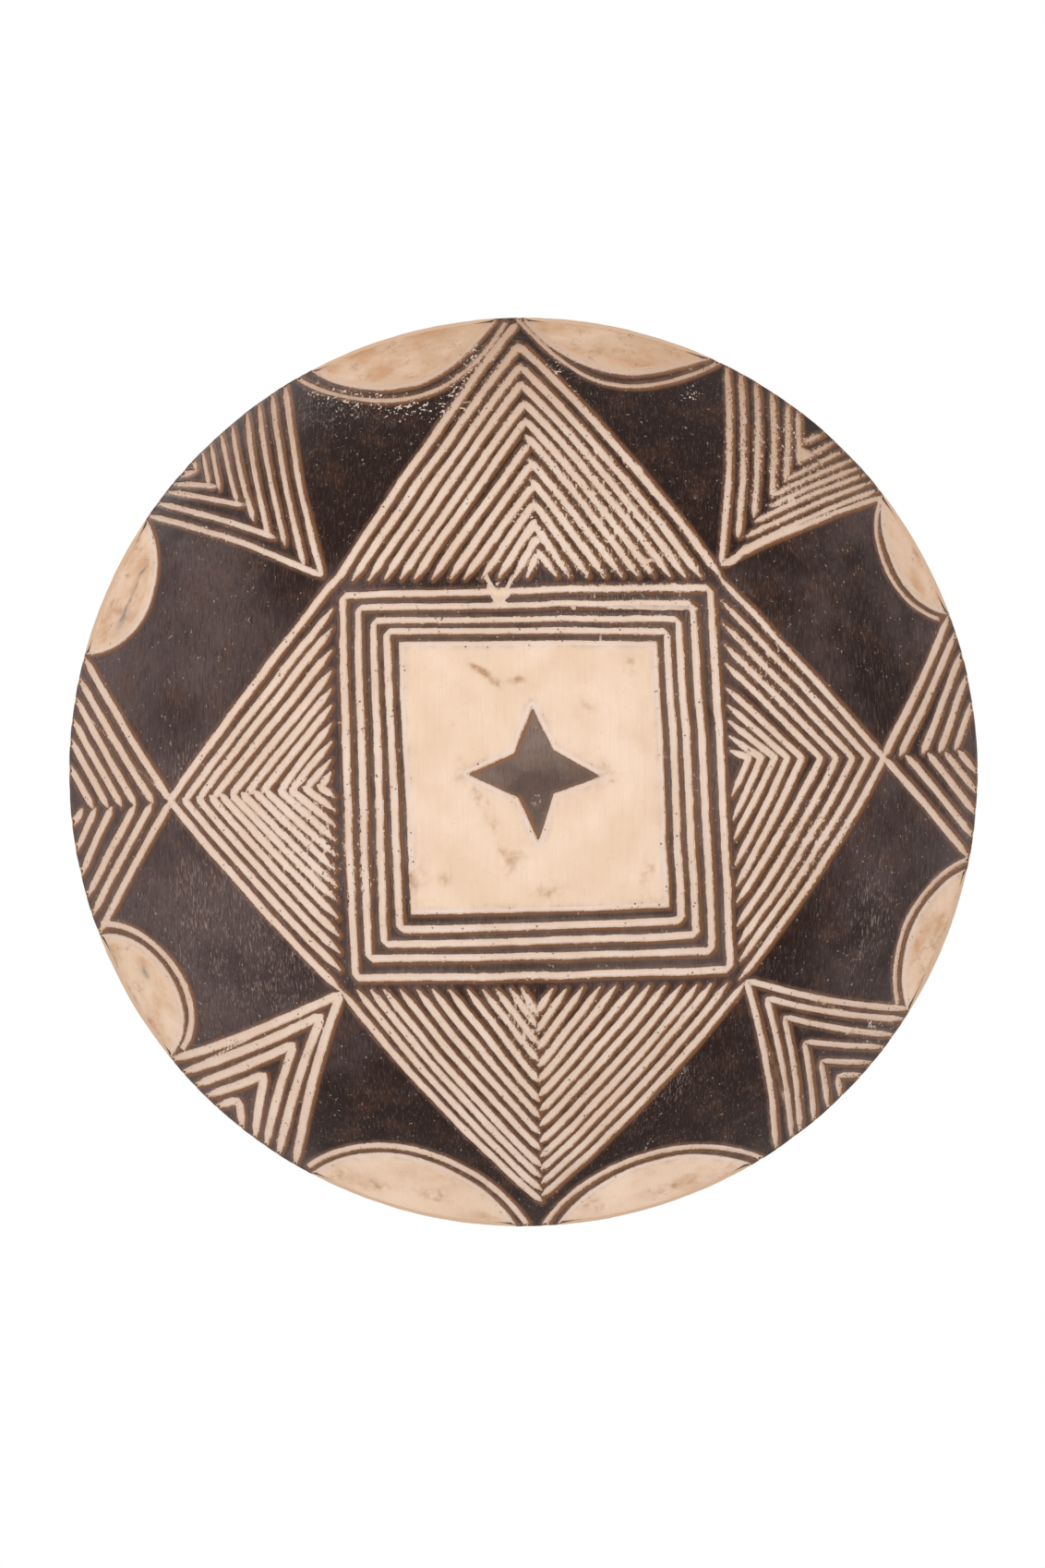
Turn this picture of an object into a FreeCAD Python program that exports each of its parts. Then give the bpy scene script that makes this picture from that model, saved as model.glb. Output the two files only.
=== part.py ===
"""A carved wooden bowl, in millimetres: +Z up, mouth upwards, origin at the centre of the underside.

The bowl is one block of wood, hollowed and then carved. Its outside was blackened first, and the
pattern was cut through the black layer into the pale wood. So the model has the pale body, and on it
the blackened lands that the knife left standing, as one node for each motif.
Plan points are (x, y) in the bowl's own frame, and the front is towards -y.
"""
import FreeCAD, Part
import math
import os

from FreeCAD import Vector

# Driving dimensions
RIM_RADIUS = 270.0
HEIGHT = 144.0
BASE_RADIUS = 60.0        # flat that the bowl stands on
RELIEF = 1.6              # depth of the carving
LIP_WIDTH = 14.0          # width of the lip, across the rim
BOTTOM_THICKNESS = 20.0
LIP_BAND = 3.0            # height of the blackened lip band on the outside
LIP_SKIN = 1.5            # its thickness on top of the lip
LIP_ROUNDING = 0.8
GROOVE_WIDTH = 4.0
SQUARE_GROOVE_WIDTH = 4.0
RIGHT_GROOVE_WIDTH = 3.5  # in the triangle on the right
BACK_GROOVE_WIDTH = 3.7   # in the triangle at the back
POINT_WIDTH = 0.8         # width that a groove tapers to
FOOT_TAPER = 9.0          # length of a groove's long pointed end
TIP_TAPER = 4.0           # length of its short blunt end
SQUARE_TAPER = 2.0        # at both ends of a cut of the square
BLUNT_TAPER = 2.5         # the same where two arms meet in a rounded point
FAN_BOW = 2.3             # how far the longest cut of a corner fan bends away from the bowl's centre
CORNER_OVERLAP = 4.5      # how far two arms run into each other at the front left corner
SLIGHT_BOW = 0.05         # a cut that bends less than this is made straight
BEYOND = 320.0            # a plan radius safely outside the rim

# The outside is a sphere that passes through the rim and the edge of the base.
CENTRE_Z = (RIM_RADIUS**2 - BASE_RADIUS**2 + HEIGHT**2) / (2 * HEIGHT)
SPHERE = math.hypot(BASE_RADIUS, CENTRE_Z)
INSIDE_RIM = RIM_RADIUS - LIP_WIDTH
INSIDE_DEPTH = HEIGHT - BOTTOM_THICKNESS
INSIDE_SPHERE = (INSIDE_RIM**2 + INSIDE_DEPTH**2) / (2 * INSIDE_DEPTH)

# Square in the middle: its four grooves from the outside in, then the edge of the pale field.
# Corners run front left, front right, back right, back left.
SQUARES = [
    [(-102, -99), (105, -104), (117, 112), (-95, 116)],
    [(-93, -92), (95, -95), (106.5, 101), (-87, 105)],
    [(-84, -84.5), (87, -86), (97, 92), (-78, 97)],
    [(-76.5, -78.5), (80.5, -79), (88.5, 83.5), (-69, 88.5)],
]
FIELD = [(-70, -72.5), (75, -73.5), (81.5, 76), (-62.5, 79.5)]
STAR = [(5, -36.5), (16.5, -12.5), (43.5, 2.5), (17, 12), (8.5, 39), (-3.5, 14.5), (-31.5, 1), (-5.5, -11)]

# Where the big triangles meet outside the square's corners, and their outer points.
CORNERS = [(-106, -108), (112, -110.5), (126, 118), (-104, 124)]
FRONT_APEX, RIGHT_APEX, BACK_APEX, LEFT_APEX = (-5, -264), (207, -8), (11, 252), (-203, 16.5)
FRONT_RIGHT_TIP = (-1, -251)

# Each arm of a big triangle: where its grooves start beside the square, and how far out they reach.
FRONT_LEFT_FEET = [-106, -97, -87.5, -78.5, -69.5, -61.5, -51.5, -41.5, -33.5, -23.5, -14.5, -5.5, 1.5]
FRONT_LEFT_TIPS = [-264, -248.5, -236, -225, -212, -201, -186, -174, -161, -151, -141, -131, -122]
FRONT_RIGHT_FEET = [112, 100, 91.5, 83, 73.5, 64.5, 55.5, 46, 36.5, 26, 19]
FRONT_RIGHT_TIPS = [-251, -237, -225, -214, -203, -193, -178, -166, -153, -140, -125]
RIGHT_FRONT_FEET = [-110.5, -97, -84, -72, -61, -47, -37.5, -28.5, -20, -12]
RIGHT_BACK_FEET = [118, 107.5, 98, 87, 73.5, 64, 52, 37.5, 27, 13.5]
RIGHT_TIPS = [207, 197.5, 188, 178, 168.5, 157.5, 149.5, 142, 134, 127]
BACK_LEFT_FEET = [-104, -94.5, -86.5, -79, -70, -60.5, -51.5, -42, -31.5, -23, -15.5, -7.5, -1]
BACK_LEFT_TIPS = [252, 244.5, 236, 228.5, 218, 208, 198, 188, 176.5, 163.5, 153.5, 144, 137]
BACK_RIGHT_FEET = [126, 116, 106.5, 98.5, 89.5, 80, 71, 62, 52, 43.5, 33.5, 24, 16.5]
BACK_RIGHT_TIPS = [248, 240, 231, 222.5, 213, 203, 194, 184.5, 175.5, 167, 157, 146.5, 136]
LEFT_FRONT_FEET = [-108, -92.5, -81.5, -69, -57, -47, -37.5, -27.5, -17, -7, 0]
LEFT_FRONT_TIPS = [-203, -193, -184.5, -175, -165, -156, -147, -136.5, -129.5, -121, -113]
LEFT_BACK_FEET = [124, 112, 102, 92.5, 82.5, 73, 64.5, 55.5, 47, 38.5, 30.5, 22, 14.5]
LEFT_BACK_TIPS = [-203, -194.5, -186, -178, -171, -165, -159, -151.5, -145, -137.5, -131, -123, -115]

# Fans that open towards the rim: the plan points where an arm's grooves start, and the angles at which
# they run out at the rim. The first point is the fan's own point.
BACK_RIGHT_STARTS = [(126.7, 118.6), (138.5, 129), (149.5, 140), (162.5, 155.5), (173.5, 168), (184.5, 178.5)]
BACK_LEFT_STARTS = [(-103.5, 125), (-114.5, 138), (-131.5, 155.5), (-150, 175), (-167, 192)]
RIM_FANS = {
    "left_rim_chevrons": [
        ([(-203, 17), (-213.5, 18), (-224.5, 19), (-233.5, 19.5), (-243, 20), (-253, 21)],
         [-165.2, -167.9, -170.4, -173.1, -175.6, -178.8]),
        ([(-203, 17), (-214.5, 18), (-225, 19), (-240, 20), (-251, 21), (-260, 21.5)],
         [159, 161.5, 163.8, 166.7, 169.7, 173]),
    ],
    "right_rim_chevrons": [
        ([(207, -8), (217, -9), (231.5, -10.5), (242.5, -11.5), (253, -13)],
         [-20.3, -18, -15.5, -12.6, -9.1]),
        ([(207, -8), (221, -9.5), (235, -11), (246, -12), (255, -13)],
         [11, 8.3, 5.5, 2.8, 0.4]),
    ],
    "front_left_corner_chevrons": [
        ([(-114, -111), (-124.5, -118), (-136, -129.5), (-146, -134), (-155.5, -144), (-165.5, -156),
          (-177, -164), (-184, -167), (-193, -177.5)],
         [-121.5, -123.5, -125.6, -127.5, -129.9, -131.7, -133.5, -135, -136.6]),
        ([(-114, -111), (-141.5, -133.5), (-161.5, -154), (-178.5, -166.5), (-193, -177.5)],
         [-145.7, -143.8, -142, -140.7, -139.4]),
    ],
    "front_right_corner_chevrons": [
        ([(112, -117.5), (122.5, -133.5), (132, -146), (143.5, -158), (152, -168), (160.5, -180)],
         [-63.5, -61.5, -59.2, -56.9, -54.5, -53]),
        ([(112, -117.5), (121.5, -124), (127.5, -134), (132.5, -143), (142, -152.5), (144.5, -159.5),
          (153.5, -169.5), (161, -181.5), (163.5, -193)],
         [-37.2, -38.3, -39.6, -40.9, -42.1, -43.4, -45, -46.6, -48.2]),
    ],
    "back_right_corner_chevrons": [
        (BACK_RIGHT_STARTS, [31.4, 32.9, 35.3, 37.1, 39.6, 41.6]),
        (BACK_RIGHT_STARTS, [56.2, 53.8, 52.5, 50.3, 48, 45.9]),
    ],
    "back_left_corner_chevrons": [
        (BACK_LEFT_STARTS, [140.8, 138.7, 136.5, 134.5, 132.6]),
        (BACK_LEFT_STARTS, [120.1, 122.6, 124.5, 126.2, 128.1]),
    ],
}

# Width of the cuts in the two arms of each corner fan.
CORNER_WIDTHS = {
    "front_left_corner_chevrons": (3.3, 3.5),
    "front_right_corner_chevrons": (3.2, 2.7),
    "back_right_corner_chevrons": (3.6, 3.6),
    "back_left_corner_chevrons": (4.5, 4.5),
}

# Pale scallops along the rim: points on the inner edge of each, points on the groove that follows it, and
# the width of that groove.
SCALLOPS = [
    ([(-127, -239), (-90.5, -222.5), (-56, -227), (-28.5, -250), (-17, -266)],
     [(-136, -235), (-95.5, -217), (-52.5, -220.5), (-22, -246), (-10.5, -266)], 2.2),
    ([(1, -266), (24, -243), (58.5, -231.5), (90, -237), (115, -247)],
     [(-3, -268), (12.5, -249), (46.5, -226), (89.5, -229.5), (117, -244)], 2.2),
    ([(214, -166), (211.5, -136.5), (228, -103.5), (254, -93)],
     [(212, -161), (207.5, -133), (223, -102), (246, -90)], 2.2),
    ([(264, 57), (232.5, 81), (222, 114), (229, 144)],
     [(264, 51.5), (228.5, 78.5), (217.5, 115), (221, 137)], 2.6),
    ([(19.5, 269), (50.5, 237), (105, 223.5), (138, 234)],
     [(12, 269), (43.5, 235), (102.5, 218.5), (143, 230)], 2.8),
    ([(-125, 237), (-72.5, 222), (-29.5, 239.5), (-4, 269)],
     [(-127, 233), (-76, 217), (-25.5, 236.5), (2, 268)], 3.2),
    ([(-248, 96), (-213.5, 108.5), (-199, 137), (-208, 168)],
     [(-250, 90), (-210.5, 104.5), (-194, 135), (-201, 163)], 3.2),
]
PLAIN_SCALLOP = [(-224, -151), (-214, -122), (-224.5, -85), (-259, -70)]


def spot(angle, radius):
    """Plan point at an angle in degrees from +x towards +y."""
    return (radius * math.cos(math.radians(angle)), radius * math.sin(math.radians(angle)))


def on_line(line, x):
    """Plan point on a line through two points, at a given x."""
    (x0, y0), (x1, y1) = line
    return (x, y0 + (y1 - y0) * (x - x0) / (x1 - x0))


def at_height(line, y):
    """Plan point on a line through two points, at a given y."""
    (x0, y0), (x1, y1) = line
    return (x0 + (x1 - x0) * (y - y0) / (y1 - y0), y)


def outwards(point):
    """The same direction as a plan point, at a radius outside the rim."""
    return spot(math.degrees(math.atan2(point[1], point[0])), BEYOND)


def lift(face):
    """Extrudes a flat outline through the whole height of the bowl."""
    return face.extrude(Vector(0, 0, HEIGHT + 20))


def prism(points):
    corners = [Vector(x, y, -10) for x, y in points]
    return lift(Part.Face(Part.makePolygon(corners + corners[:1])))


def smooth(points):
    curve = Part.BSplineCurve()
    curve.interpolate([Vector(x, y, -10) for x, y in points])
    return curve


def groove(start, end, width=GROOVE_WIDTH, start_taper=FOOT_TAPER, end_taper=TIP_TAPER,
           end_width=POINT_WIDTH, bow=0.0):
    """One knife cut, tapered at both ends, whose middle is bent away from the bowl's centre by bow."""
    (x0, y0), (x1, y1) = start, end
    length = math.hypot(x1 - x0, y1 - y0)
    ux, uy = (x1 - x0) / length, (y1 - y0) / length
    outward = 1 if (y0 + y1) * ux > (x0 + x1) * uy else -1
    first = min(start_taper, 0.45 * length)
    last = length - min(end_taper, 0.45 * length)

    def side_point(s, offset):
        shift = offset + outward * bow * 4 * (s / length) * (1 - s / length)
        return Vector(x0 + ux * s - uy * shift, y0 + uy * s + ux * shift, -10)

    def long_side(side):
        a, middle, b = [side_point(s, side * width / 2) for s in (first, (first + last) / 2, last)]
        return Part.makeLine(a, b) if bow < SLIGHT_BOW else Part.Arc(a, middle, b).toShape()

    ends = [(0, POINT_WIDTH, first), (length, end_width, last)]
    edges = [long_side(1), long_side(-1)]
    for tip, tip_width, shoulder in ends:
        edges.append(Part.makeLine(side_point(tip, tip_width / 2), side_point(tip, -tip_width / 2)))
        for side in (0.5, -0.5):
            edges.append(Part.makeLine(side_point(tip, side * tip_width), side_point(shoulder, side * width)))
    return lift(Part.Face(Part.Wire(Part.sortEdges(edges)[0])))


def square_groove(corners):
    """The four cuts of one nested square, running a little into each other at the corners."""
    sides = zip(corners, corners[1:] + corners[:1])
    return [groove(a, b, SQUARE_GROOVE_WIDTH, SQUARE_TAPER, SQUARE_TAPER) for a, b in sides]


def curved_groove(points, width):
    """A groove of even width that follows a smooth curve."""
    line = smooth(points)
    sides = []
    for side in (1, -1):
        edge = []
        for step in range(9):
            t = line.FirstParameter + (line.LastParameter - line.FirstParameter) * step / 8
            at, along = line.value(t), line.tangent(t)[0]
            edge.append((at.x - side * along.y * width / 2, at.y + side * along.x * width / 2))
        sides.append(edge)
    one, other = smooth(sides[0]).toShape(), smooth(sides[1]).toShape()
    caps = [Part.makeLine(Vector(*sides[0][i], -10), Vector(*sides[1][i], -10)) for i in (0, -1)]
    return lift(Part.Face(Part.Wire([one, caps[1], other.reversed(), caps[0]])))


def outside_curve(points):
    """Everything between a smooth curve that starts and ends at the rim, and a line outside the rim."""
    first, last = outwards(points[0]), outwards(points[-1])
    middle = outwards(((points[0][0] + points[-1][0]) / 2, (points[0][1] + points[-1][1]) / 2))
    path = [points[-1], last, middle, first, points[0]]
    edges = [smooth(points).toShape()]
    edges += [Part.makeLine(Vector(*a, -10), Vector(*b, -10)) for a, b in zip(path, path[1:])]
    return lift(Part.Face(Part.Wire(edges)))


def further(start, end, extra):
    """The point that lies extra mm past the end of a cut."""
    length = math.hypot(end[0] - start[0], end[1] - start[1])
    return (end[0] + (end[0] - start[0]) / length * extra, end[1] + (end[1] - start[1]) / length * extra)


def arm(feet, tips, bow=0.0, past=0.0, before=0.0, **shape):
    """The cuts of one arm, from its feet to a little past its tips. The longest has the full bow, and the
    first starts a little before its foot."""
    longest = max(math.dist(foot, tip) for foot, tip in zip(feet, tips))
    feet = [further(tips[0], feet[0], before)] + feet[1:]
    return [
        groove(foot, further(foot, tip, past), bow=bow * (math.dist(foot, tip) / longest) ** 2, **shape)
        for foot, tip in zip(feet, tips)
    ]


def triangle_grooves():
    """The cuts of the four big triangles, by node."""
    front_axis, back_axis = [(-5, -264), (9, -110)], [(11, 252), (7, 120)]
    right_axis, left_axis = [(207, -8), (110, -8)], [(-203, 16.5), (-105, 7)]
    front_line, back_line = [(-106, -107.5), (112, -110)], [(-104, 123), (126, 119.5)]
    right_line = [(110.5, -110.5), (122.5, 118)]
    left_front_line, left_back_line = [(-107.5, -108), (-107.5, 0)], [(-106, 0), (-103.5, 124)]
    rounded = {
        "width": RIGHT_GROOVE_WIDTH, "end_taper": BLUNT_TAPER, "end_width": 0.8 * RIGHT_GROOVE_WIDTH,
    }
    behind = {"bow": 2.8, "width": BACK_GROOVE_WIDTH}

    def across(feet, line):
        return [on_line(line, foot) for foot in feet]

    def along(feet, line):
        return [at_height(line, foot) for foot in feet]

    return {
        "front_chevrons":
            arm(across(FRONT_LEFT_FEET, front_line), along(FRONT_LEFT_TIPS, front_axis), 0.5, 1.5,
                before=CORNER_OVERLAP, end_taper=BLUNT_TAPER)
            + arm(across(FRONT_RIGHT_FEET, front_line), along(FRONT_RIGHT_TIPS, front_axis), 2.8),
        "right_chevrons":
            arm(along(RIGHT_FRONT_FEET, right_line), across(RIGHT_TIPS, right_axis), 0, 1.2, **rounded)
            + arm(along(RIGHT_BACK_FEET, right_line), across(RIGHT_TIPS, right_axis), 3.0, 1.2, **rounded),
        "back_chevrons":
            arm(across(BACK_LEFT_FEET, back_line), along(BACK_LEFT_TIPS, back_axis), **behind)
            + arm(across(BACK_RIGHT_FEET, back_line), along(BACK_RIGHT_TIPS, back_axis), **behind),
        "left_chevrons":
            arm(along(LEFT_FRONT_FEET, left_front_line), across(LEFT_FRONT_TIPS, left_axis), 0, 1.0,
                before=CORNER_OVERLAP, end_taper=BLUNT_TAPER)
            + arm(along(LEFT_BACK_FEET, left_back_line), across(LEFT_BACK_TIPS, left_axis), 1.2, 1.0,
                  end_taper=BLUNT_TAPER),
    }


def rim_fan_grooves():
    """The cuts of the six fans that open towards the rim, by node."""
    cuts = {name: [] for name in RIM_FANS}
    for name, arms in RIM_FANS.items():
        bow = FAN_BOW if name in CORNER_WIDTHS else 0.0
        widths = CORNER_WIDTHS.get(name, (GROOVE_WIDTH, GROOVE_WIDTH))
        for (starts, angles), width in zip(arms, widths):
            ends = [spot(angle, RIM_RADIUS) for angle in angles]
            cuts[name] += arm(ends, starts, bow, width=width)
    return cuts


def zone_outlines():
    """Plan outlines that share out the blackened surface among the motifs. They meet without gaps."""
    square = SQUARES[0]
    c0, c1, c2, c3 = CORNERS
    fans = {name: arms[0][0][0] for name, arms in RIM_FANS.items()}
    ends = {name: [spot(angles[0], BEYOND) for starts, angles in arms] for name, arms in RIM_FANS.items()}
    fl, fr, br, bl = (
        "front_left_corner_chevrons", "front_right_corner_chevrons",
        "back_right_corner_chevrons", "back_left_corner_chevrons",
    )
    lr, rr = "left_rim_chevrons", "right_rim_chevrons"
    front_end, back_end = outwards(FRONT_APEX), outwards(BACK_APEX)
    zones = {
        "front_chevrons": [square[0], c0, FRONT_APEX, FRONT_RIGHT_TIP, c1, square[1]],
        "right_chevrons": [square[1], c1, RIGHT_APEX, c2, square[2]],
        "back_chevrons": [square[2], c2, BACK_APEX, c3, square[3]],
        "left_chevrons": [square[3], c3, LEFT_APEX, c0, square[0]],
        "front_left_panel": [c0, FRONT_APEX, front_end, spot(-106, BEYOND), ends[fl][0], fans[fl]],
        "front_right_panel": [
            c1, FRONT_RIGHT_TIP, FRONT_APEX, front_end, spot(-77, BEYOND), ends[fr][0], fans[fr],
        ],
        "right_front_panel": [c1, fans[fr], ends[fr][1], ends[rr][0], RIGHT_APEX],
        "right_back_panel": [c2, RIGHT_APEX, ends[rr][1], ends[br][0]],
        "back_right_panel": [c2, ends[br][1], spot(72, BEYOND), back_end, BACK_APEX],
        "back_left_panel": [c3, BACK_APEX, back_end, spot(104, BEYOND), ends[bl][1]],
        "left_back_panel": [c3, ends[bl][0], ends[lr][1], LEFT_APEX],
        "left_front_panel": [c0, LEFT_APEX, ends[lr][0], ends[fl][1], fans[fl]],
    }
    for name in RIM_FANS:
        zones[name] = [fans[name], ends[name][0], ends[name][1]]
    return zones


def ball_slice(radius, bottom, top):
    """Everything inside a sphere about the centre of the outside, between two heights."""
    ball = Part.makeSphere(radius, Vector(0, 0, CENTRE_Z))
    slab = Part.makeBox(800, 800, top - bottom, Vector(-400, -400, bottom))
    return ball.common(slab)


def inside():
    """The hollow: a shallower sphere, so that the wall thins towards the lip."""
    return Part.makeSphere(INSIDE_SPHERE, Vector(0, 0, BOTTOM_THICKNESS + INSIDE_SPHERE))


def bowl_body():
    """The pale wood: its outside is the floor of the carving."""
    return ball_slice(SPHERE - RELIEF, RELIEF, HEIGHT - LIP_SKIN).cut(inside())


def rim_lip(body):
    """The blackened lip: a band round the outside edge that turns over onto the lip's top."""
    ring = ball_slice(SPHERE, HEIGHT - LIP_BAND, HEIGHT).cut(inside()).cut(body)
    top_edges = [
        edge for edge in ring.Edges
        if abs(edge.BoundBox.ZMin - HEIGHT) < 0.01 and abs(edge.BoundBox.ZMax - HEIGHT) < 0.01
    ]
    return ring.makeFillet(LIP_ROUNDING, top_edges)


def blackened_skin():
    """The black layer before carving, from the base up to the lip band."""
    return ball_slice(SPHERE, 0, HEIGHT - LIP_BAND).cut(ball_slice(SPHERE - RELIEF, RELIEF, HEIGHT))


def near(cutter, shape):
    return cutter.BoundBox.intersect(shape.BoundBox)


def carve(skin, outline, cutters):
    """What is left of the black layer inside an outline, after every cut that reaches it."""
    land = skin.common(prism(outline))
    return land.cut([cutter for cutter in cutters if near(cutter, land)])


def square_bands(skin):
    """The four raised frames between the nested grooves and round the pale field."""
    cuts = [cut for corners in SQUARES for cut in square_groove(corners)]
    return skin.common(prism(SQUARES[0])).cut([prism(FIELD)] + cuts)


def centre_star(skin):
    return skin.common(prism(STAR))


def scallop_ridges(skin, grooves):
    """The thin black ridges between a pale scallop and the groove that follows it."""
    ridges = []
    for edge, outline, _ in SCALLOPS:
        strip = skin.common(outside_curve(outline)).cut(outside_curve(edge))
        ridges.append(strip.cut([cut for cut in grooves if near(cut, strip)]))
    return Part.makeCompound([solid for ridge in ridges for solid in ridge.Solids])


def save(name, shape, smallest=2.0):
    """Writes a node, without the crumbs that crossing cuts leave."""
    solids = [solid for solid in shape.Solids if solid.Volume > smallest]
    result = solids[0] if len(solids) == 1 else Part.makeCompound(solids)
    result.exportStep(f"parts/{name}.step")
    print(f"{name:30s} solids {len(solids):3d} volume {result.Volume / 1000:9.2f} cm3 {result.isValid()}")


def main():
    os.makedirs("parts", exist_ok=True)
    body, skin = bowl_body(), blackened_skin()
    save("bowl_body", body)
    save("rim_lip", rim_lip(body))
    save("centre_star", centre_star(skin))
    save("square_bands", square_bands(skin))

    fans = {**triangle_grooves(), **rim_fan_grooves()}
    fan_cuts = [cut for cuts in fans.values() for cut in cuts]
    outlines = [curved_groove(outline, width) for _, outline, width in SCALLOPS]
    scallops = [outside_curve(outline) for _, outline, _ in SCALLOPS] + [outside_curve(PLAIN_SCALLOP)]
    first_square = square_groove(SQUARES[0])
    save("scallop_ridges", scallop_ridges(skin, fan_cuts + outlines))
    for name, outline in zone_outlines().items():
        save(name, carve(skin, outline, fan_cuts + outlines + scallops + first_square))


main()
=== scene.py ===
"""A carved wooden bowl, mouth upwards: the pale hollowed body and the blackened lands left on its outside.

Every land keeps the plan of its CAD node to about half a millimetre, apart from chips, and the outside
is rebuilt as one fine relief: gouge cuts with rounded floors, torn and splintered edges, worn black
tops. Lengths in this script are millimetres in the frame's own axes, and they become metres when a mesh
is made.
"""

import math

import bpy
import numpy as np
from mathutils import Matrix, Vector
from mathutils.bvhtree import BVHTree


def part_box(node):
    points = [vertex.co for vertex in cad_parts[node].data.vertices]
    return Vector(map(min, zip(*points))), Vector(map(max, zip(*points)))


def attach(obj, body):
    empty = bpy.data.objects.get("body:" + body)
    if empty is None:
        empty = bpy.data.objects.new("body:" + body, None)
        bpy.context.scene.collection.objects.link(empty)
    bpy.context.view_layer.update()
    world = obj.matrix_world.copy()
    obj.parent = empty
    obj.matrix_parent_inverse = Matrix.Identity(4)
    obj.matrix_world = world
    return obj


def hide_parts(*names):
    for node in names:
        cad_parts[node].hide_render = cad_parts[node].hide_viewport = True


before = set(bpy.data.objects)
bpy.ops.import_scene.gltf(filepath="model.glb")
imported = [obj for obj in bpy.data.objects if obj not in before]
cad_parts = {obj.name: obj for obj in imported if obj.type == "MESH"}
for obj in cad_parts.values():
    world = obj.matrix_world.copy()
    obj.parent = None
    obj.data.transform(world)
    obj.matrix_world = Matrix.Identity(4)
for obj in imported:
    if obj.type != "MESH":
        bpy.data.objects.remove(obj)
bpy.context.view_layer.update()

MM = 0.001

# Sizes of the bowl
RIM_RADIUS = 270.0                                   # where the outside would meet the top of the lip
BASE_RADIUS = 60.0
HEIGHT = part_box("rim_lip")[1].z / MM
EDGE_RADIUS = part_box("rim_lip")[1].x / MM            # the rounded rim's own radius
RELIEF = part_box("centre_star")[1].z / MM
LIP_UNDERSIDE = 142.3
LIP_WIDTH = 14.0
BOTTOM_THICKNESS = 20.0
CENTRE_Z = (RIM_RADIUS**2 - BASE_RADIUS**2 + HEIGHT**2) / (2 * HEIGHT)
SPHERE = math.hypot(BASE_RADIUS, CENTRE_Z)
INSIDE_RIM = RIM_RADIUS - LIP_WIDTH
INSIDE_DEPTH = HEIGHT - BOTTOM_THICKNESS
INSIDE_SPHERE = (INSIDE_RIM**2 + INSIDE_DEPTH**2) / (2 * INSIDE_DEPTH)
BASE_EASE = 0.9                                      # softens the edge of the flat base

# The relief
GRID = 600                    # cells across the outside
INSIDE_GRID = GRID // 3
GRID_RADIUS = 268.8
PATTERN_RADIUS = 267.6                               # beyond this the pattern is read at this radius
EDGE_DEPTH = 0.35                                    # depth at which a land meets its groove
FLOOR_DEPTH = RELIEF + 0.15
FLOOR_REACH = 2.2                                    # distance from a wall to the floor's full depth
UNDERCUT = 2.2                                       # how steeply hidden surfaces part from the seen ones
EDGE_ROUNDING = 0.45                                 # how gradually a land's top levels out from its edge
HIDDEN_REACH = 0.9                                   # the body drops away under a land over this distance
LAND_BOTTOM = 3.4                                    # depth of the hidden underside of a land
LAND_THICKNESS = 0.3                                 # the least there is between a land's top and bottom
TUCK = 0.15                                          # how far the outside runs up behind the lip
GENEROUS = 0.16                                      # the cuts are this much wider on each side
OVERLAP = 0.5                                        # a land's mesh goes this far into the groove
WALL_PIECE = 1.5                                     # length of wall that is tested at a time

# The hand of the carver
DRIFT, JITTER = 0.4, 0.12                            # how far a cut strays over 2 cm, and over 6 mm
UNEVEN = 0.14                                        # how much a cut's edge comes and goes
SPLINTER_DEPTH = 1.5
CHIP_DEPTH = 5.0
BROWN_SIDE = (0.93, 0.36)                            # the way the brown beside a cut lies from it
STROKE_LENGTH = 24                                   # of the adze marks inside, which lie in rings
STROKE_DEPTH = 0.8
LIP_TURNS = 720                                      # steps round the lip

# The neighbours of a grid cell, each with the two corners of the side that they share
NEIGHBOURS = [
    (0, -1, (0, 0), (1, 0)), (1, 0, (1, 0), (1, 1)), (0, 1, (1, 1), (0, 1)), (-1, 0, (0, 1), (0, 0)),
]

LANDS = sorted(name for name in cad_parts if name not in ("bowl_body", "rim_lip"))


# Smooth seeded noise -------------------------------------------------------------------------------

def noise(x, y, size, seed, stretch=1.0):
    """Smooth noise from -1 to 1 whose features are about size mm wide, and longer along y by stretch."""
    table = np.random.default_rng(seed).uniform(-1, 1, (512, 512))
    u, v = x / size + 1000.0, y / (size * stretch) + 1000.0
    i, j = np.floor(u).astype(int), np.floor(v).astype(int)
    a, b = u - i, v - j
    a, b = a * a * (3 - 2 * a), b * b * (3 - 2 * b)
    i0, j0, i1, j1 = i % 512, j % 512, (i + 1) % 512, (j + 1) % 512
    near = table[i0, j0] * (1 - a) + table[i1, j0] * a
    far = table[i0, j1] * (1 - a) + table[i1, j1] * a
    return near * (1 - b) + far * b


def smooth_step(low, high, x):
    t = np.clip((x - low) / (high - low), 0, 1)
    return t * t * (3 - 2 * t)


def blob(x, y, spot):
    """1 in the middle of an ellipse (x, y, half length, half width, degrees), falling to 0 outside."""
    cx, cy, length, width, angle = spot
    c, s = math.cos(math.radians(angle)), math.sin(math.radians(angle))
    u = ((x - cx) * c + (y - cy) * s) / length
    v = (-(x - cx) * s + (y - cy) * c) / width
    return np.exp(-(u * u + v * v) * 1.4)


# The bowl's surfaces -------------------------------------------------------------------------------

def outside(r):
    """Height of the uncarved outside at plan radius r, and how much longer a depth is measured upright."""
    root = np.sqrt(SPHERE**2 - r * r)
    ball = CENTRE_Z - root
    eased = np.sqrt(ball * ball + BASE_EASE**2)
    slope = r / root * 0.5 * (1 + ball / eased)
    return 0.5 * (ball + eased), np.sqrt(1 + slope * slope)


def inside(r):
    centre = BOTTOM_THICKNESS + INSIDE_SPHERE
    return centre - np.sqrt(INSIDE_SPHERE**2 - r * r)


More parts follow.
